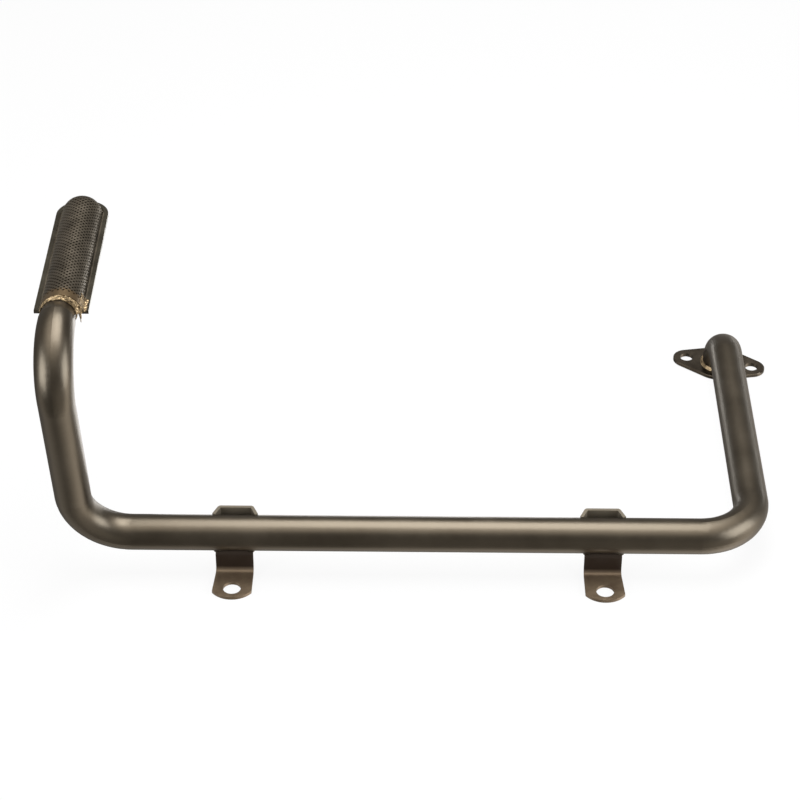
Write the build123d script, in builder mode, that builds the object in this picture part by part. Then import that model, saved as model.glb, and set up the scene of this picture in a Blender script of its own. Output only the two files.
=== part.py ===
from build123d import *
import os
from math import cos, radians, sin, tan

os.makedirs("parts", exist_ok=True)

# The frame: the origin is the centre of the outlet, on the flange's sealing face.
# Z = 0 is the plane of that face and of the undersides of both bracket feet.
# The long run lies along X, and the pickup leg rises from its far left end.

# Tube
tube_od = 28.0
tube_wall = 1.5
run_span = 526.3               # axis of the outlet leg to axis of the pickup leg
outlet_reach = 284.0           # axis of the run to axis of the outlet
run_height = 36.4              # axis of the run above the mounting plane
pickup_rise = 186.4            # axis of the pickup above the axis of the run
pickup_lean = 10.0             # degrees that the pickup leg leans away from the outlet
pickup_splay = 1.4             # degrees that it leans outwards
corner_radius = 43.0           # centreline of the bends at both ends of the run
outlet_bend_radius = 42.0      # cut off by the flange before it points straight down
pickup_bend_radius = 40.0
bend_flattening = 0.045        # share of the radius lost across a bend and gained beside it

# Neck, where the tube is drawn in to enter the strainer
neck_od = 26.0
neck_taper = 8.0
neck_length = 4.0              # in front of the strainer's mouth
neck_insertion = 16.0          # inside it

# Outlet flange
flange_thickness = 3.5
flange_hole_spacing = 57.2
flange_hole_diameter = 11.3
flange_ear_radius = 11.5
flange_waist_radius = 23.3
flange_turn = -14.5            # degrees about the outlet's axis
flange_edge_break = 0.6
outlet_bore_diameter = 24.0

# Brackets, each pressed from one strip
bracket_sheet = 2.5
bracket_spacing = 290.0
bracket_from_outlet = 117.0    # outlet's axis to the middle of the nearer bracket
web_width = 29.2
web_offset = 1.1               # middle of the web beside the hole, towards the other bracket
foot_width = 30.7
foot_hole_diameter = 14.0
foot_hole_from_run = 26.4
foot_end_margin = 4.1          # from the edge of the hole to the tip of the foot
foot_end_radius = 19.0
web_from_run = 3.8             # middle of the sheet to the run's axis
foot_bend_radius = 5.6         # bends are measured to the middle of the sheet
seat_bend_radius = 3.8
back_rise = 13.8               # top of the back above the run's axis
back_width = 25.2              # between the folds of the two wings
back_offset = 2.1              # middle of the back beside the hole, on the same side
wing_reach = 9.2               # how far a wing comes forward of the back
wing_spread = 4.0              # how far it opens sideways on the way
wing_fold_radius = 1.7
wing_skirt = 3.0               # how far the wings reach below the run's axis
seat_clearance = 0.02

# Weld stitches between the brackets and the tube
weld_radius = 1.7
weld_length = 5.5
weld_overhang = 1.3            # past the edge of the strip

# Strainer: a perforated half-shell over a plain one, joined along a flat rim
strainer_sheet = 0.9
strainer_radius = 16.0
strainer_start = 27.4          # mouth of the strainer, forward of the run's axis
strainer_length = 136.6        # mouth to the centre of the rounded end
strainer_shift = 1.9           # axis of the strainer beside the axis of the neck
rim_width = 4.4
hem_lip = 3.2                  # of the lower rim, folded back over the upper one
rim_fit = 0.02
pan_taper = 22.0               # length over which the lower shell is drawn in to the neck
hole_radius = 1.7
hole_rows = 8
hole_columns = 12
hole_pitch = 10.6              # along the strainer
hole_first_angle = 18.0        # degrees from the rim to the first row
end_hole_rings = ((30.0, 6), (62.0, 4))    # degrees round the end, and holes there

# Brazing at the strainer's mouth and at the flange
mouth_braze_depth = 5.0
mouth_braze_face = 1.0
mouth_braze_collar = 2.0
rim_braze_length = 15.0
rim_braze_angle = 30.0         # how high it climbs the shell
drip_length = 9.0
drip_radius = 0.9
drip_side = 14.4               # from the strainer's axis
flange_braze_leg = 2.4

tube_radius = tube_od / 2
neck_radius = neck_od / 2
run_y = -outlet_reach

# Corners of the tube's centreline
lean_run = pickup_rise * tan(radians(pickup_lean))
splay_run = pickup_rise * tan(radians(pickup_splay)) / cos(radians(pickup_lean))
mouth_y = run_y + strainer_start
outlet_drop = run_height - flange_thickness
outlet_overrun = outlet_bend_radius - (outlet_bend_radius ** 2 - (outlet_bend_radius - outlet_drop) ** 2) ** 0.5
outlet_top = Vector(0, outlet_overrun, run_height)
outlet_foot = outlet_top - Vector(0, 0, outlet_bend_radius + tube_wall)
right_corner = Vector(0, run_y, run_height)
left_corner = Vector(-run_span, run_y, run_height)
pickup_top = left_corner + Vector(-splay_run, -lean_run, pickup_rise)
taper_start = Vector(pickup_top.X, mouth_y - neck_length - neck_taper, pickup_top.Z)
corners = [outlet_foot, outlet_top, right_corner, left_corner, pickup_top, taper_start]
radii = [outlet_bend_radius, corner_radius, corner_radius, pickup_bend_radius]


def bend_arc(before, corner, after, radius):
    """Centre, start and end of the arc that rounds a corner, and its turn in degrees."""
    back = (before - corner).normalized()
    ahead = (after - corner).normalized()
    turn = 180 - back.get_angle(ahead)
    setback = radius * tan(radians(turn / 2))
    centre = corner + (back + ahead).normalized() * (radius / cos(radians(turn / 2)))
    return centre, corner + back * setback, corner + ahead * setback, turn


bends = [bend_arc(*corners[i:i + 3], radii[i]) for i in range(len(radii))]
straight_starts = [corners[0]] + [end for centre, start, end, turn in bends]
straight_ends = [start for centre, start, end, turn in bends] + [corners[-1]]
neck_start = taper_start + Vector(0, neck_taper, 0)

# The skin and the bore of the tube: straight lengths, then bends, each a little oval
# across its middle, then the taper and the neck.
tube_bodies = []
for radius, end_radius in ((tube_radius, neck_radius), (tube_radius - tube_wall, neck_radius - tube_wall)):
    with BuildPart() as body:
        for start, end in zip(straight_starts, straight_ends):
            with BuildSketch(Plane(start, z_dir=end - start)):
                Circle(radius)
            extrude(amount=(end - start).length)
        for centre, start, end, turn in bends:
            spoke = start - centre
            turn_axis = Axis((0, 0, 0), spoke.cross(end - centre))
            with BuildLine() as arc:
                ThreePointArc(start, centre + spoke.rotate(turn_axis, turn / 2), end)
            for share in (0, 0.25, 0.5, 0.75, 1):
                arm = spoke.rotate(turn_axis, turn * share)
                oval = bend_flattening * sin(radians(180 * share))
                with BuildSketch(Plane(centre + arm, x_dir=arm, z_dir=turn_axis.direction.cross(arm))):
                    Ellipse(radius * (1 - oval), radius * (1 + oval))
            sweep(path=arc.wires()[0], multisection=True)
        with BuildSketch(Plane(taper_start, z_dir=(0, 1, 0))):
            Circle(radius)
        with BuildSketch(Plane(neck_start, z_dir=(0, 1, 0))):
            Circle(end_radius)
        loft()
        with BuildSketch(Plane(neck_start, z_dir=(0, 1, 0))):
            Circle(end_radius)
        extrude(amount=neck_length + neck_insertion)
    tube_bodies.append(body.part)

with BuildPart() as suction_tube:
    add(tube_bodies[0])
    add(tube_bodies[1], mode=Mode.SUBTRACT)
    split(bisect_by=Plane.XY.offset(flange_thickness), keep=Keep.TOP)
suction_tube.part.label = "suction_tube"
export_step(suction_tube.part, "parts/suction_tube.step")

# Outlet flange: a diamond plate with two bolt ears; the tube stands on it, round its bore.
flange_plane = Plane.XY.rotated((0, 0, flange_turn))
with BuildPart() as outlet_flange:
    with BuildSketch(flange_plane):
        Circle(flange_waist_radius)
        with GridLocations(flange_hole_spacing, 0, 2, 1):
            Circle(flange_ear_radius)
        make_hull()
    extrude(amount=flange_thickness)
    rims = outlet_flange.edges().group_by(Axis.Z)
    chamfer(rims[0] + rims[-1], length=flange_edge_break)
    with BuildSketch(flange_plane):
        Circle(outlet_bore_diameter / 2)
        with GridLocations(flange_hole_spacing, 0, 2, 1):
            Circle(flange_hole_diameter / 2)
    extrude(amount=flange_thickness, mode=Mode.SUBTRACT)
outlet_flange.part.label = "outlet_flange"
export_step(outlet_flange.part, "parts/outlet_flange.step")

# Ring of braze in the corner between the flange's upper face and the tube.
with BuildPart() as flange_braze:
    with BuildSketch(Plane.XY.offset(flange_thickness)):
        Circle(tube_radius + flange_braze_leg)
    with BuildSketch(Plane.XY.offset(flange_thickness + flange_braze_leg)):
        Circle(tube_radius + flange_braze_leg / 3)
    loft()
    add(tube_bodies[0], mode=Mode.SUBTRACT)
flange_braze.part.label = "flange_braze"
export_step(flange_braze.part, "parts/flange_braze.step")

# Brackets: foot, web, a seat under the tube and a back with two wings folded forward.
shelf_z = run_height - tube_radius - seat_clearance - bracket_sheet / 2
back_y = tube_radius + seat_clearance + bracket_sheet / 2
foot_tip_y = -(foot_hole_from_run + foot_hole_diameter / 2 + foot_end_margin)
foot_corner_y = foot_tip_y + foot_end_radius - (foot_end_radius ** 2 - (foot_width / 2) ** 2) ** 0.5
for side, bracket_x, inward in (
    ("right", -bracket_from_outlet, -1),
    ("left", -bracket_from_outlet - bracket_spacing, 1),
):
    run_plane = Plane((bracket_x, run_y, 0))
    web_x = inward * web_offset
    back_x = inward * back_offset
    with BuildPart() as bracket:
        with BuildSketch(Plane((bracket_x, run_y, 0), x_dir=(0, 1, 0), z_dir=(1, 0, 0))):
            with BuildLine():
                FilletPolyline(
                    (foot_tip_y - bracket_sheet, bracket_sheet / 2),
                    (-web_from_run, bracket_sheet / 2),
                    (-web_from_run, shelf_z),
                    (back_y, shelf_z),
                    (back_y, run_height),
                    radius=(foot_bend_radius, seat_bend_radius, seat_bend_radius),
                )
            trace(line_width=bracket_sheet)
        extrude(amount=foot_width, both=True)
        with BuildSketch(run_plane):
            with BuildLine():
                Polyline(
                    (-foot_width / 2, foot_corner_y),
                    (web_x - web_width / 2, -web_from_run),
                    (web_x - web_width / 2, web_from_run),
                    (back_x - back_width / 2, back_y - bracket_sheet / 2),
                    (back_x - back_width / 2, back_y + bracket_sheet),
                    (back_x + back_width / 2, back_y + bracket_sheet),
                    (back_x + back_width / 2, back_y - bracket_sheet / 2),
                    (web_x + web_width / 2, web_from_run),
                    (web_x + web_width / 2, -web_from_run),
                    (foot_width / 2, foot_corner_y),
                )
                ThreePointArc((foot_width / 2, foot_corner_y), (0, foot_tip_y), (-foot_width / 2, foot_corner_y))
            make_face()
        extrude(amount=2 * run_height, mode=Mode.INTERSECT)
        with BuildSketch(run_plane.offset(run_height - wing_skirt)):
            with BuildLine():
                FilletPolyline(
                    (back_x - back_width / 2 - wing_spread, back_y - wing_reach),
                    (back_x - back_width / 2, back_y),
                    (back_x + back_width / 2, back_y),
                    (back_x + back_width / 2 + wing_spread, back_y - wing_reach),
                    radius=wing_fold_radius,
                )
            trace(line_width=bracket_sheet)
        extrude(amount=wing_skirt + back_rise)
        with BuildSketch(Plane((bracket_x, run_y, run_height), z_dir=(1, 0, 0))):
            Circle(tube_radius + seat_clearance)
        extrude(amount=web_width, both=True, mode=Mode.SUBTRACT)
        with BuildSketch(run_plane):
            with Locations((0, -foot_hole_from_run)):
                Circle(foot_hole_diameter / 2)
        extrude(amount=bracket_sheet, mode=Mode.SUBTRACT)
    bracket.part.label = f"bracket_{side}"
    export_step(bracket.part, f"parts/bracket_{side}.step")

    # Two stitches in the corner between the web and the underside of the tube.
    stitch_y = -web_from_run
    stitch_z = run_height - (tube_radius ** 2 - stitch_y ** 2) ** 0.5 - weld_radius / 2
    stitch_reach = web_width / 2 + weld_overhang - weld_length / 2
    with BuildPart() as welds:
        for way in (-1, 1):
            stitch_x = bracket_x + web_x + way * stitch_reach
            with BuildSketch(Plane((stitch_x, run_y + stitch_y, stitch_z), z_dir=(1, 0, 0))):
                Circle(weld_radius)
            extrude(amount=weld_length / 2, both=True)
        chamfer(welds.edges(), length=weld_radius / 2)
        add(tube_bodies[0], mode=Mode.SUBTRACT)
        add(bracket.part, mode=Mode.SUBTRACT)
    welds.part.label = f"bracket_welds_{side}"
    export_step(welds.part, f"parts/bracket_welds_{side}.step")

# Strainer: a round shell, closed at its far end by half a ball, parted along the rim's plane.
strainer_x = pickup_top.X + strainer_shift
strainer_z = pickup_top.Z
shell_inner = strainer_radius - strainer_sheet
rim_radius = strainer_radius + rim_width
mouth_plane = Plane((strainer_x, mouth_y, strainer_z), x_dir=(-1, 0, 0), z_dir=(0, 1, 0))
rim_plane = Plane((strainer_x, mouth_y, strainer_z))
end_centre = Vector(strainer_x, mouth_y + strainer_length, strainer_z)
with BuildPart() as shell:
    for radius, mode in ((strainer_radius, Mode.ADD), (shell_inner, Mode.SUBTRACT)):
        with BuildSketch(mouth_plane):
            Circle(radius)
        extrude(amount=strainer_length, mode=mode)
        with Locations(end_centre):
            Sphere(radius, mode=mode)

# Upper half of the shell, perforated all over, with a flat rim.
row_step = (180 - 2 * hole_first_angle) / (hole_rows - 1)
rows_middle = (mouth_braze_depth + strainer_length) / 2
with BuildPart() as strainer_screen:
    add(shell.part)
    split(bisect_by=rim_plane, keep=Keep.TOP)
    with BuildSketch(rim_plane):
        for radius, mode in ((rim_radius - strainer_sheet - rim_fit, Mode.ADD), (shell_inner, Mode.SUBTRACT)):
            Rectangle(2 * radius, strainer_length, align=(Align.CENTER, Align.MIN), mode=mode)
            with Locations((0, strainer_length)):
                Circle(radius, mode=mode)
    extrude(amount=strainer_sheet)
    for row in range(hole_rows):
        angle = radians(hole_first_angle + row * row_step)
        stagger = hole_pitch / 4 * (-1) ** row
        row_start = Vector(strainer_x, mouth_y + rows_middle + stagger, strainer_z)
        with BuildSketch(Plane(row_start, x_dir=(0, 1, 0), z_dir=(cos(angle), 0, sin(angle)))):
            with GridLocations(hole_pitch, 0, hole_columns, 1):
                RegularPolygon(hole_radius, 6)
        extrude(amount=strainer_radius + strainer_sheet, mode=Mode.SUBTRACT)
    for tilt, count in end_hole_rings:
        for place in range(count):
            angle = radians(180 * (place + 0.5) / count)
            level = cos(radians(tilt))
            outward = Vector(level * cos(angle), sin(radians(tilt)), level * sin(angle))
            with BuildSketch(Plane(end_centre, z_dir=outward)):
                RegularPolygon(hole_radius, 6)
            extrude(amount=strainer_radius + strainer_sheet, mode=Mode.SUBTRACT)
strainer_screen.part.label = "strainer_screen"
export_step(strainer_screen.part, "parts/strainer_screen.step")

# Lower half, plain: the same shell, but drawn in at its mouth to fit round the neck.
neck_at_mouth = Plane((pickup_top.X, mouth_y, strainer_z), x_dir=(-1, 0, 0), z_dir=(0, 1, 0))
pan_mouth_radius = neck_radius + rim_fit
pan_bodies = []
for mouth_radius, radius in ((pan_mouth_radius + strainer_sheet, strainer_radius), (pan_mouth_radius, shell_inner)):
    with BuildPart() as body:
        with BuildSketch(neck_at_mouth):
            Circle(mouth_radius)
        with BuildSketch(mouth_plane.offset(pan_taper)):
            Circle(radius)
        loft()
        with BuildSketch(mouth_plane.offset(pan_taper)):
            Circle(radius)
        extrude(amount=strainer_length - pan_taper)
        with Locations(end_centre):
            Sphere(radius)
        split(bisect_by=rim_plane, keep=Keep.BOTTOM)
    pan_bodies.append(body.part)

# Its flat rim is folded up and back over the screen's rim.
hem_base = strainer_sheet + rim_fit
with BuildPart() as strainer_pan:
    with BuildSketch(rim_plane):
        Rectangle(2 * rim_radius, strainer_length, align=(Align.CENTER, Align.MIN))
        with Locations((0, strainer_length)):
            Circle(rim_radius)
    extrude(amount=-strainer_sheet)
    add(pan_bodies[0])
    add(pan_bodies[1], mode=Mode.SUBTRACT)
    for base, height, inner_radius in (
        (0, hem_base, rim_radius - strainer_sheet),
        (hem_base, strainer_sheet, rim_radius - hem_lip),
    ):
        with BuildSketch(rim_plane.offset(base)):
            for radius, mode in ((rim_radius, Mode.ADD), (inner_radius, Mode.SUBTRACT)):
                Rectangle(2 * radius, strainer_length, align=(Align.CENTER, Align.MIN), mode=mode)
                with Locations((0, strainer_length)):
                    Circle(radius, mode=mode)
        extrude(amount=height)
strainer_pan.part.label = "strainer_pan"
export_step(strainer_pan.part, "parts/strainer_pan.step")

# Braze that closes the mouth round the neck, with a run along one rim and a hanging drip.
drip_top = Vector(strainer_x + drip_side, mouth_y - mouth_braze_face, strainer_z + strainer_sheet)
hem_top = hem_base + strainer_sheet
with BuildPart() as mouth_braze:
    with BuildSketch(mouth_plane):
        with BuildLine():
            Polyline(
                (-strainer_radius / 2, strainer_sheet),
                (-rim_radius + hem_lip, strainer_sheet),
                (-rim_radius + hem_lip, hem_top),
                (-rim_radius + strainer_sheet, hem_top),
                (-rim_radius + hem_lip, hem_top + drip_radius),
                (-strainer_radius * cos(radians(rim_braze_angle)), strainer_radius * sin(radians(rim_braze_angle))),
                (-strainer_radius / 2, strainer_radius / 2),
                close=True,
            )
        rim_run = make_face()
        Circle(strainer_radius, mode=Mode.SUBTRACT)
    extrude(amount=rim_braze_length)
    with BuildSketch(mouth_plane):
        add(rim_run)
        Circle(strainer_radius)
    extrude(amount=-mouth_braze_face)
    with BuildSketch(mouth_plane):
        Circle(shell_inner)
    extrude(amount=mouth_braze_depth)
    with BuildSketch(mouth_plane.offset(-mouth_braze_face)):
        Circle(strainer_radius)
    with BuildSketch(neck_at_mouth.offset(-mouth_braze_face - mouth_braze_collar)):
        Circle(neck_radius + drip_radius)
    loft()
    split(bisect_by=rim_plane, keep=Keep.TOP)
    with BuildSketch(neck_at_mouth):
        Circle(pan_mouth_radius + strainer_sheet)
    extrude(amount=-mouth_braze_face)
    with BuildSketch(Plane(drip_top)):
        Circle(drip_radius)
    with BuildSketch(Plane(drip_top - Vector(0, 0, drip_length))):
        Circle(drip_radius / 2)
    loft()
    with BuildSketch(neck_at_mouth):
        Circle(neck_radius)
    extrude(amount=rim_braze_length, both=True, mode=Mode.SUBTRACT)
mouth_braze.part.label = "mouth_braze"
export_step(mouth_braze.part, "parts/mouth_braze.step")
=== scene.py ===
import bpy
from math import acos, cos, pi, radians, sin
from mathutils import Matrix, Vector
from mathutils.kdtree import KDTree


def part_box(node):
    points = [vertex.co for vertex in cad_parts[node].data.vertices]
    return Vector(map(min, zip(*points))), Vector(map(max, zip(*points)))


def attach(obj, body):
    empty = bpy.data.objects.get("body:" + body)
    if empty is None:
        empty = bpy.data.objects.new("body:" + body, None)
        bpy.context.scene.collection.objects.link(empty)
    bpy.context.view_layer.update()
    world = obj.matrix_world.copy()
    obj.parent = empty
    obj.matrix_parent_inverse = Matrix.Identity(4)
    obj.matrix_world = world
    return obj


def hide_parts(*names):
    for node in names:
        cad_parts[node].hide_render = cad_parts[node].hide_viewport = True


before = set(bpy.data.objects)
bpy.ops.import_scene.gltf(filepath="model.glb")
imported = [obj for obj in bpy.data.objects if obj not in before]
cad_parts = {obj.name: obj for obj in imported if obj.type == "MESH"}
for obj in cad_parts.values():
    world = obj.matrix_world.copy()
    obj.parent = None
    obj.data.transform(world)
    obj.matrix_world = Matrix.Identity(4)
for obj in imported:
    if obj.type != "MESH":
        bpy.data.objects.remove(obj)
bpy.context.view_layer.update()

# Camera: a long lens that looks down on the pipe from the front, at the height and
# distance that make the run, the pickup leg and the flange line up with the photograph.
camera_data = bpy.data.cameras.new("camera")
camera = bpy.data.objects.new("camera", camera_data)
bpy.context.scene.collection.objects.link(camera)
camera_data.sensor_width = 36.0
camera_data.lens = 110.91
camera_data.clip_end = 20.0
camera_place = (-0.26212, -1.77520, 1.24398)
camera_down = 35.889
camera_aside = 0.567
camera_roll = 0.110
camera.matrix_world = (
    Matrix.Translation(camera_place)
    @ Matrix.Rotation(radians(camera_aside), 4, "Z")
    @ Matrix.Rotation(radians(90 - camera_down), 4, "X")
    @ Matrix.Rotation(radians(camera_roll), 4, "Z")
)
bpy.context.scene.camera = camera
bpy.context.scene.view_settings.view_transform = "Standard"

# Floor: a plain white sheet under the pipe, nine tenths white by itself and one tenth lit,
# which leaves a faint shade. The steel mirrors the room and the lamps, not the sheet.
bpy.ops.object.select_all(action="DESELECT")
bpy.ops.mesh.primitive_plane_add(size=12.0, location=(0.0, 0.0, -0.0002))
floor = bpy.context.object
floor.name = "floor"
floor.visible_glossy = False
floor.visible_diffuse = False
floor_paint = bpy.data.materials.new("floor_paint")
floor_paint.use_nodes = True
nodes = floor_paint.node_tree.nodes
links = floor_paint.node_tree.links
nodes.clear()
output = nodes.new("ShaderNodeOutputMaterial")
lit = nodes.new("ShaderNodeBsdfDiffuse")
lit.inputs["Color"].default_value = (0.80, 0.80, 0.80, 1.0)
plain_white = nodes.new("ShaderNodeEmission")
plain_white.inputs["Color"].default_value = (1.0, 1.0, 1.0, 1.0)
rays = nodes.new("ShaderNodeLightPath")
share_of_white = nodes.new("ShaderNodeMath")
share_of_white.operation = "MULTIPLY"
share_of_white.inputs[1].default_value = 0.90
mix = nodes.new("ShaderNodeMixShader")
links.new(rays.outputs["Is Camera Ray"], share_of_white.inputs[0])
links.new(share_of_white.outputs[0], mix.inputs["Fac"])
links.new(lit.outputs[0], mix.inputs[1])
links.new(plain_white.outputs[0], mix.inputs[2])
links.new(mix.outputs[0], output.inputs["Surface"])
floor.data.materials.append(floor_paint)

# Room: white in the picture. In the steel it is a plain studio: grey walls, a bright
# ceiling, and a pale floor that darkens towards the camera, to the left and at the back.
world = bpy.data.worlds.new("studio")
bpy.context.scene.world = world
world.use_nodes = True
nodes = world.node_tree.nodes
links = world.node_tree.links
nodes.clear()
output = nodes.new("ShaderNodeOutputWorld")
room = nodes.new("ShaderNodeBackground")
way = nodes.new("ShaderNodeTexCoord")
axes = nodes.new("ShaderNodeSeparateXYZ")
links.new(way.outputs["Generated"], axes.inputs[0])
levels = {}
for name, axis, start, end, first, last in (
    ("front_floor", "Y", -0.53, -0.31, 0.42, 1.20),
    ("side_floor", "X", -0.20, 0.40, 0.75, 2.20),
    ("back_floor", "Y", -0.10, 0.45, 1.00, 0.25),
    ("walls", "Y", -0.50, 0.90, 0.45, 0.42),
    ("ceiling", "Z", 0.56, 1.00, 0.0, 2.6),
    ("horizon", "Z", -0.06, 0.02, 0.0, 1.0),
):
    level = nodes.new("ShaderNodeMapRange")
    level.interpolation_type = "SMOOTHSTEP"
    level.inputs["From Min"].default_value = start
    level.inputs["From Max"].default_value = end
    level.inputs["To Min"].default_value = first
    level.inputs["To Max"].default_value = last
    links.new(axes.outputs[axis], level.inputs["Value"])
    levels[name] = level.outputs[0]
above = nodes.new("ShaderNodeMath")
above.operation = "ADD"
near_floor = nodes.new("ShaderNodeMath")
near_floor.operation = "MULTIPLY"
whole_floor = nodes.new("ShaderNodeMath")
whole_floor.operation = "MULTIPLY"
mirrored = nodes.new("ShaderNodeMix")
warmth = nodes.new("ShaderNodeMix")
warmth.data_type = "RGBA"
warmth.inputs["A"].default_value = (1.0, 1.0, 1.0, 1.0)
warmth.inputs["B"].default_value = (1.0, 0.92, 0.82, 1.0)
rays = nodes.new("ShaderNodeLightPath")
bounced = nodes.new("ShaderNodeMix")
bounced.inputs["A"].default_value = 0.30
strength = nodes.new("ShaderNodeMix")
strength.inputs["B"].default_value = 1.0
links.new(levels["walls"], above.inputs[0])
links.new(levels["ceiling"], above.inputs[1])
links.new(levels["horizon"], mirrored.inputs["Factor"])
links.new(levels["front_floor"], near_floor.inputs[0])
links.new(levels["side_floor"], near_floor.inputs[1])
links.new(near_floor.outputs[0], whole_floor.inputs[0])
links.new(levels["back_floor"], whole_floor.inputs[1])
links.new(whole_floor.outputs[0], mirrored.inputs["A"])
links.new(above.outputs[0], mirrored.inputs["B"])
links.new(rays.outputs["Is Glossy Ray"], bounced.inputs["Factor"])
links.new(mirrored.outputs["Result"], bounced.inputs["B"])
links.new(rays.outputs["Is Camera Ray"], strength.inputs["Factor"])
links.new(bounced.outputs["Result"], strength.inputs["A"])
links.new(strength.outputs["Result"], room.inputs["Strength"])
links.new(rays.outputs["Is Glossy Ray"], warmth.inputs["Factor"])
links.new(warmth.outputs["Result"], room.inputs["Color"])
links.new(room.outputs[0], output.inputs["Surface"])

# Light: a large soft box over the run with a brighter strip at its far edge, a soft box
# on each side, a low strip at the back right, and two glowing patches of the floor.
for name, place, aim, width, depth, radiance in (
    ("overhead_box", (-0.205, -0.064, 1.286), (-0.205, -0.064, 0.0), 0.76, 1.00, 6.4),
    ("far_strip", (-0.225, 0.400, 1.28), (-0.225, 0.400, 0.0), 0.80, 0.08, 9.0),
    ("left_box", (-1.85, -1.10, 0.50), (-0.50, -0.28, 0.15), 1.10, 1.05, 7.0),
    ("right_box", (1.15, -0.75, 0.50), (-0.10, -0.28, 0.15), 1.10, 1.05, 7.0),
    ("back_right_strip", (0.75, 0.85, 0.06), (0.0, -0.10, 0.06), 0.90, 0.10, 3.5),
    ("floor_glow", (-0.300, 0.000, 0.001), (-0.300, 0.000, 1.0), 0.36, 0.34, 2.4),
    ("screen_glow", (-0.270, 0.300, 0.001), (-0.270, 0.300, 1.0), 0.26, 0.24, 6.0),
):
    box_data = bpy.data.lights.new(name, "AREA")
    box_data.shape = "RECTANGLE"
    box_data.size = width
    box_data.size_y = depth
    box_data.energy = radiance * pi * width * depth
    box = bpy.data.objects.new(name, box_data)
    bpy.context.scene.collection.objects.link(box)
    box.visible_camera = False
    box.location = place
    box.rotation_euler = (Vector(aim) - Vector(place)).to_track_quat("-Z", "Y").to_euler()

# Tube: one length of steel tube, bent cold round a former, with a thin brown oil skin
# that leaves it dark olive and satin, in soft clouds of a little more and less shine.
oxide_wear = bpy.data.node_groups.new("oxide_wear", "ShaderNodeTree")
for name, way_through, kind in (
    ("Dark", "INPUT", "NodeSocketColor"),
    ("Light", "INPUT", "NodeSocketColor"),
    ("Cloud Size", "INPUT", "NodeSocketFloat"),
    ("Smoothest", "INPUT", "NodeSocketFloat"),
    ("Roughest", "INPUT", "NodeSocketFloat"),
    ("Color", "OUTPUT", "NodeSocketColor"),
    ("Roughness", "OUTPUT", "NodeSocketFloat"),
    ("Height", "OUTPUT", "NodeSocketFloat"),
):
    oxide_wear.interface.new_socket(name, in_out=way_through, socket_type=kind)
nodes = oxide_wear.nodes
links = oxide_wear.links
group_in = nodes.new("NodeGroupInput")
group_out = nodes.new("NodeGroupOutput")
place = nodes.new("ShaderNodeTexCoord")
clouds = nodes.new("ShaderNodeTexNoise")
clouds.inputs["Detail"].default_value = 5.0
clouds.inputs["Roughness"].default_value = 0.6
grain = nodes.new("ShaderNodeTexNoise")
grain.inputs["Scale"].default_value = 900.0
grain.inputs["Detail"].default_value = 3.0
blotch = nodes.new("ShaderNodeMapRange")
blotch.inputs["From Min"].default_value = 0.30
blotch.inputs["From Max"].default_value = 0.70
colours = nodes.new("ShaderNodeMix")
colours.data_type = "RGBA"
gloss = nodes.new("ShaderNodeMapRange")
gloss.inputs["From Min"].default_value = 0.25
gloss.inputs["From Max"].default_value = 0.75
links.new(place.outputs["Object"], clouds.inputs["Vector"])
links.new(group_in.outputs["Cloud Size"], clouds.inputs["Scale"])
links.new(place.outputs["Object"], grain.inputs["Vector"])
links.new(clouds.outputs["Fac"], blotch.inputs["Value"])
links.new(blotch.outputs[0], colours.inputs["Factor"])
links.new(group_in.outputs["Dark"], colours.inputs["A"])
links.new(group_in.outputs["Light"], colours.inputs["B"])
links.new(colours.outputs["Result"], group_out.inputs["Color"])
links.new(clouds.outputs["Fac"], gloss.inputs["Value"])
links.new(group_in.outputs["Smoothest"], gloss.inputs["To Min"])
links.new(group_in.outputs["Roughest"], gloss.inputs["To Max"])
links.new(gloss.outputs[0], group_out.inputs["Roughness"])
links.new(grain.outputs["Fac"], group_out.inputs["Height"])


def steel_finish(name, dark, light, cloud_size, grain_depth, sheen=(0.19, 0.30), metal=1.0):
    """A satin metal whose brown skin clouds between two colours and two roughnesses."""
    finish = bpy.data.materials.new(name)
    finish.use_nodes = True
    nodes = finish.node_tree.nodes
    links = finish.node_tree.links
    shader = nodes["Principled BSDF"]
    shader.inputs["Metallic"].default_value = metal
    wear = nodes.new("ShaderNodeGroup")
    wear.node_tree = oxide_wear
    wear.inputs["Dark"].default_value = (*dark, 1.0)
    wear.inputs["Light"].default_value = (*light, 1.0)
    wear.inputs["Cloud Size"].default_value = cloud_size
    wear.inputs["Smoothest"].default_value = sheen[0]
    wear.inputs["Roughest"].default_value = sheen[1]
    bump = nodes.new("ShaderNodeBump")
    bump.inputs["Strength"].default_value = 0.15
    bump.inputs["Distance"].default_value = grain_depth
    links.new(wear.outputs["Color"], shader.inputs["Base Color"])
    links.new(wear.outputs["Roughness"], shader.inputs["Roughness"])
    links.new(wear.outputs["Height"], bump.inputs["Height"])
    links.new(bump.outputs["Normal"], shader.inputs["Normal"])
    return finish


sharp_edge = radians(35)


def dress(node, finish):
    """Gives a solid of the frame its finish, with smooth shading up to its sharp edges."""
    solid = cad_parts[node]
    solid.data.materials.clear()
    solid.data.materials.append(finish)
    bpy.ops.object.select_all(action="DESELECT")
    solid.select_set(True)
    bpy.context.view_layer.objects.active = solid
    bpy.ops.object.shade_smooth_by_angle(angle=sharp_edge)


tube_steel = steel_finish(
    "tube_steel",
    dark=(0.070, 0.061, 0.048),
    light=(0.090, 0.079, 0.063),
    cloud_size=22.0,
    grain_depth=0.0002,
    sheen=(0.29, 0.41),
)
dress("suction_tube", tube_steel)

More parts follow.
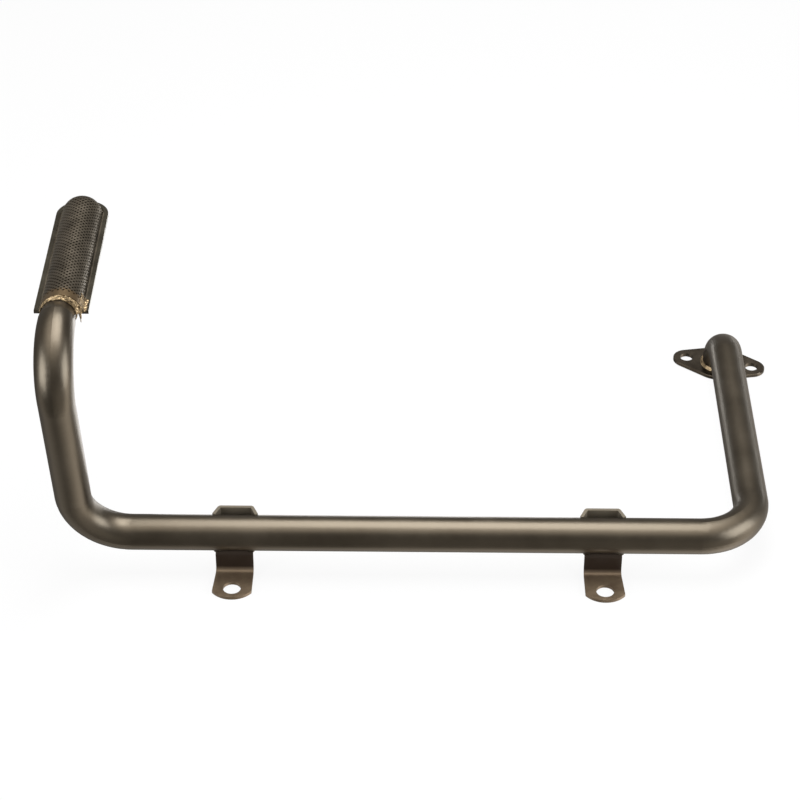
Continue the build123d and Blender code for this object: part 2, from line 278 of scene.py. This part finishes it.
# Outlet flange: a flat diamond plate, sheared and drilled, of a cloudier brown than the
# tube, with brass-coloured braze round the foot of the tube.
flange_steel = steel_finish(
    "flange_steel",
    dark=(0.050, 0.042, 0.034),
    light=(0.100, 0.088, 0.072),
    cloud_size=60.0,
    grain_depth=0.0002,
)
dress("outlet_flange", flange_steel)
braze_metal = steel_finish(
    "braze_metal",
    dark=(0.050, 0.034, 0.018),
    light=(0.42, 0.32, 0.19),
    cloud_size=420.0,
    grain_depth=0.0010,
    sheen=(0.26, 0.50),
    metal=0.8,
)
dress("flange_braze", braze_metal)

# Brackets: two strips of the same stamping, each seated under the run and welded to it by
# two short stitches. The web under the run carries painted shade, the back a painted highlight.
bracket_steel = steel_finish(
    "bracket_steel",
    dark=(0.12, 0.085, 0.055),
    light=(0.18, 0.135, 0.088),
    cloud_size=90.0,
    grain_depth=0.0003,
    sheen=(0.28, 0.42),
    metal=0.45,
)
weld_metal = steel_finish(
    "weld_metal",
    dark=(0.040, 0.034, 0.028),
    light=(0.075, 0.065, 0.052),
    cloud_size=200.0,
    grain_depth=0.0004,
)


def fade(finish, value, start, end):
    """A mask that goes from 0 at the start to 1 at the end, which may be the lower one."""
    mask = finish.node_tree.nodes.new("ShaderNodeMapRange")
    mask.inputs["From Min"].default_value = start
    mask.inputs["From Max"].default_value = end
    finish.node_tree.links.new(value, mask.inputs["Value"])
    return mask.outputs[0]


def combine(finish, operation, first, second):
    """Two masks of a finish, multiplied or added."""
    both = finish.node_tree.nodes.new("ShaderNodeMath")
    both.operation = operation
    finish.node_tree.links.new(first, both.inputs[0])
    finish.node_tree.links.new(second, both.inputs[1])
    return both.outputs[0]


def tint(finish, mask, colour):
    """Lays a colour over the finish's own where the mask is 1."""
    links = finish.node_tree.links
    base = finish.node_tree.nodes["Principled BSDF"].inputs["Base Color"]
    skin = finish.node_tree.nodes.new("ShaderNodeMix")
    skin.data_type = "RGBA"
    skin.inputs["B"].default_value = (*colour, 1.0)
    links.new(mask, skin.inputs["Factor"])
    links.new(base.links[0].from_socket, skin.inputs["A"])
    links.new(skin.outputs["Result"], base)


foot_top = 0.0028
bend_top = 0.0070
web_top = 0.027
seat_edge = 0.031
back_start = 0.028
back_end = 0.032
place = bracket_steel.node_tree.nodes.new("ShaderNodeTexCoord")
axes = bracket_steel.node_tree.nodes.new("ShaderNodeSeparateXYZ")
bracket_steel.node_tree.links.new(place.outputs["Object"], axes.inputs[0])
# Painted shade: the web under the run gets a near-black colour where the run above shades it.
over_foot = fade(bracket_steel, axes.outputs["Z"], foot_top, bend_top)
under_seat = fade(bracket_steel, axes.outputs["Z"], seat_edge, web_top)
painted_shade_web = combine(bracket_steel, "MULTIPLY", over_foot, under_seat)
tint(bracket_steel, painted_shade_web, (0.030, 0.020, 0.014))
# Painted highlight: the back and wings above the seat get a lighter colour where their top catches
# the light.
painted_highlight_back = fade(bracket_steel, axes.outputs["Z"], back_start, back_end)
tint(bracket_steel, painted_highlight_back, (0.165, 0.145, 0.112))
for side in ("right", "left"):
    dress("bracket_" + side, bracket_steel)
    dress("bracket_welds_" + side, weld_metal)

# Strainer: a plain lower shell whose rim is hemmed over the rim of the screen, both of
# thin steel sheet. The heat and flux of the brazing left a ragged brown stain on the
# screen, next to the mouth.
strainer_steel = steel_finish(
    "strainer_steel",
    dark=(0.104, 0.092, 0.073),
    light=(0.168, 0.150, 0.121),
    cloud_size=70.0,
    grain_depth=0.0002,
    sheen=(0.27, 0.40),
)
pan_steel = steel_finish(
    "pan_steel",
    dark=(0.054, 0.050, 0.039),
    light=(0.090, 0.084, 0.067),
    cloud_size=70.0,
    grain_depth=0.0002,
    sheen=(0.24, 0.36),
)
dress("strainer_pan", pan_steel)
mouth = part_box("strainer_screen")[0][1]
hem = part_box("strainer_pan")[1][2]
stain_reach = 0.020
stain_full = 0.002
stain_start = 1.00
stain_whole = 1.20
hem_clear = 0.002
place = strainer_steel.node_tree.nodes.new("ShaderNodeTexCoord")
axes = strainer_steel.node_tree.nodes.new("ShaderNodeSeparateXYZ")
ragged = strainer_steel.node_tree.nodes.new("ShaderNodeTexNoise")
ragged.inputs["Scale"].default_value = 420.0
ragged.inputs["Detail"].default_value = 4.0
strainer_steel.node_tree.links.new(place.outputs["Object"], axes.inputs[0])
strainer_steel.node_tree.links.new(place.outputs["Object"], ragged.inputs["Vector"])
near_mouth = fade(strainer_steel, axes.outputs["Y"], mouth + stain_reach, mouth + stain_full)
crept = combine(strainer_steel, "ADD", near_mouth, ragged.outputs["Fac"])
stained = fade(strainer_steel, crept, stain_start, stain_whole)
over_hem = fade(strainer_steel, axes.outputs["Z"], hem, hem + hem_clear)
stain = combine(strainer_steel, "MULTIPLY", stained, over_hem)
tint(strainer_steel, stain, (0.20, 0.145, 0.085))

# Screen: perforated sheet, cut to a strip with a round end and pressed over a form, so
# that the strip becomes the half-round shell, its end the dome and its edge the flat rim.
# It starts as a grid that stands on its corner, of squares with a diagonal of 1.
screen_low, screen_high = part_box("strainer_screen")
sheet = 0.0009
shell_radius = 0.0160
rim_half = (screen_high[0] - screen_low[0]) / 2
middle = (screen_high[0] + screen_low[0]) / 2
rim_level = screen_high[2] - shell_radius
straight = screen_high[1] - rim_half - mouth
fold = shell_radius * acos(sheet / shell_radius)
edge = fold + rim_half - shell_radius
cell_across = 0.0042
cell_along = 0.0041
cells = 64
bpy.ops.object.select_all(action="DESELECT")
bpy.ops.mesh.primitive_grid_add(x_subdivisions=cells, y_subdivisions=cells, size=cells * 0.5 ** 0.5)
screen = bpy.context.object
screen.name = "strainer_screen_sheet"
bpy.ops.object.mode_set(mode="EDIT")
bpy.ops.mesh.select_all(action="SELECT")
bpy.ops.transform.rotate(value=radians(45), orient_axis="Z", center_override=(0, 0, 0))
bpy.ops.transform.resize(value=(cell_across, cell_along, 1.0), center_override=(0, 0, 0))
bpy.ops.transform.translate(value=(0.0, straight / 2, 0.0))
straight_cuts = [((0.0, 0.0), (0.0, -1.0), True)]
for reach, trims in ((edge, True), (fold, False)):
    straight_cuts.append(((reach, 0.0), (1.0, 0.0), trims))
    straight_cuts.append(((-reach, 0.0), (-1.0, 0.0), trims))
for (x, y), (away_x, away_y), trims in straight_cuts:
    bpy.ops.mesh.select_all(action="SELECT")
    bpy.ops.mesh.bisect(plane_co=(x, y, 0.0), plane_no=(away_x, away_y, 0.0), clear_outer=trims)
chords = 36
for step in range(chords):
    turn = pi * (step + 0.5) / chords
    bpy.ops.mesh.select_all(action="SELECT")
    bpy.ops.mesh.bisect(
        plane_co=(edge * cos(turn), straight + edge * sin(turn), 0.0),
        plane_no=(cos(turn), sin(turn), 0.0),
        clear_outer=True,
    )
bpy.ops.object.mode_set(mode="OBJECT")

# One hole is punched in each whole square of the grid that lies clear of the mouth and of
# the fold of the rim: the square is inset, its corners are cut, and the eight points that
# this leaves move on to a circle.
hole_radius = 0.00095
hole_points = 8
plain_edge = 0.0024
plain_mouth = 0.0050
land = 0.00042
cut_corner = 0.0005
at_centre = 0.0002
whole_area = 0.999 * cell_across * cell_along / 2
for face in screen.data.polygons:
    centre = face.center
    from_middle = Vector((centre.x, max(centre.y - straight, 0.0))).length
    whole_cell = len(face.vertices) == 4 and face.area > whole_area
    face.select = whole_cell and from_middle < fold - plain_edge and centre.y > plain_mouth
bpy.ops.object.mode_set(mode="EDIT")
bpy.ops.mesh.select_mode(type="FACE")
bpy.ops.mesh.inset(thickness=land, use_individual=True)
bpy.ops.object.mode_set(mode="OBJECT")
holes = [face.center.copy() for face in screen.data.polygons if face.select]
bpy.ops.object.mode_set(mode="EDIT")
bpy.ops.mesh.bevel(offset=cut_corner, offset_type="OFFSET", segments=1, affect="VERTICES")
bpy.ops.object.mode_set(mode="OBJECT")
centres = KDTree(len(holes))
for index, hole in enumerate(holes):
    centres.insert(hole, index)
centres.balance()
for face in screen.data.polygons:
    centre, index, gap = centres.find(face.center)
    face.select = gap < at_centre and len(face.vertices) == hole_points
    if face.select:
        for corner in face.vertices:
            arm = screen.data.vertices[corner].co - centre
            screen.data.vertices[corner].co = centre + arm * (hole_radius / arm.length)
bpy.ops.object.mode_set(mode="EDIT")
bpy.ops.mesh.select_mode(type="FACE")
bpy.ops.mesh.delete(type="FACE")
bpy.ops.object.mode_set(mode="OBJECT")

# The flat strip is then pressed over the form, as far as the fold, and given its wall.
nearly_nothing = 1e-9
for corner in screen.data.vertices:
    x, y = corner.co.x, corner.co.y
    beyond = max(y - straight, 0.0)
    far = max(Vector((x, beyond)).length, nearly_nothing)
    turn = min(far, fold) / shell_radius
    out = shell_radius * sin(turn) + max(far - fold, 0.0)
    corner.co = (
        middle + out * x / far,
        mouth + min(y, straight) + out * beyond / far,
        rim_level + shell_radius * cos(turn),
    )
screen.data.materials.append(strainer_steel)
bpy.ops.object.select_all(action="DESELECT")
screen.select_set(True)
bpy.context.view_layer.objects.active = screen
merge_distance = 0.00002
bpy.ops.object.mode_set(mode="EDIT")
bpy.ops.mesh.select_all(action="SELECT")
bpy.ops.mesh.remove_doubles(threshold=merge_distance)
bpy.ops.mesh.normals_make_consistent(inside=False)
bpy.ops.object.mode_set(mode="OBJECT")
wall = screen.modifiers.new("wall", "SOLIDIFY")
wall.thickness = sheet
wall.offset = -1.0
bpy.ops.object.modifier_apply(modifier="wall")
bpy.ops.object.shade_smooth_by_angle(angle=sharp_edge)
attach(screen, "root")
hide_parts("strainer_screen")

# Mouth: bronze run round the neck by hand with a torch, so it froze as a ragged crust
# that crept over the end of the screen and hangs from the rim in one drip. It rises no
# higher than the screen.
plain_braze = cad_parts["mouth_braze"]
crust = bpy.data.objects.new("mouth_braze_crust", plain_braze.data.copy())
crust.data.transform(plain_braze.matrix_world)
bpy.context.scene.collection.objects.link(crust)
crust.data.materials.clear()
crust.data.materials.append(braze_metal)
bpy.ops.object.select_all(action="DESELECT")
crust.select_set(True)
bpy.context.view_layer.objects.active = crust
bpy.ops.object.mode_set(mode="EDIT")
bpy.ops.mesh.select_all(action="SELECT")
bpy.ops.mesh.remove_doubles(threshold=merge_distance)
bpy.ops.mesh.normals_make_consistent(inside=False)
bpy.ops.object.mode_set(mode="OBJECT")
crust.data.remesh_voxel_size = 0.00040
bpy.ops.object.voxel_remesh()
lumps = bpy.data.textures.new("lumps", "CLOUDS")
lumps.noise_scale = 0.0030
lumps.noise_depth = 3
rough = crust.modifiers.new("rough", "DISPLACE")
rough.texture = lumps
rough.texture_coords = "LOCAL"
rough.mid_level = 0.60
rough.strength = 0.0022
bpy.ops.object.modifier_apply(modifier="rough")
for corner in crust.data.vertices:
    corner.co.z = min(corner.co.z, screen_high[2])
bpy.ops.object.shade_smooth_by_angle(angle=radians(60))
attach(crust, "root")
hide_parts("mouth_braze")
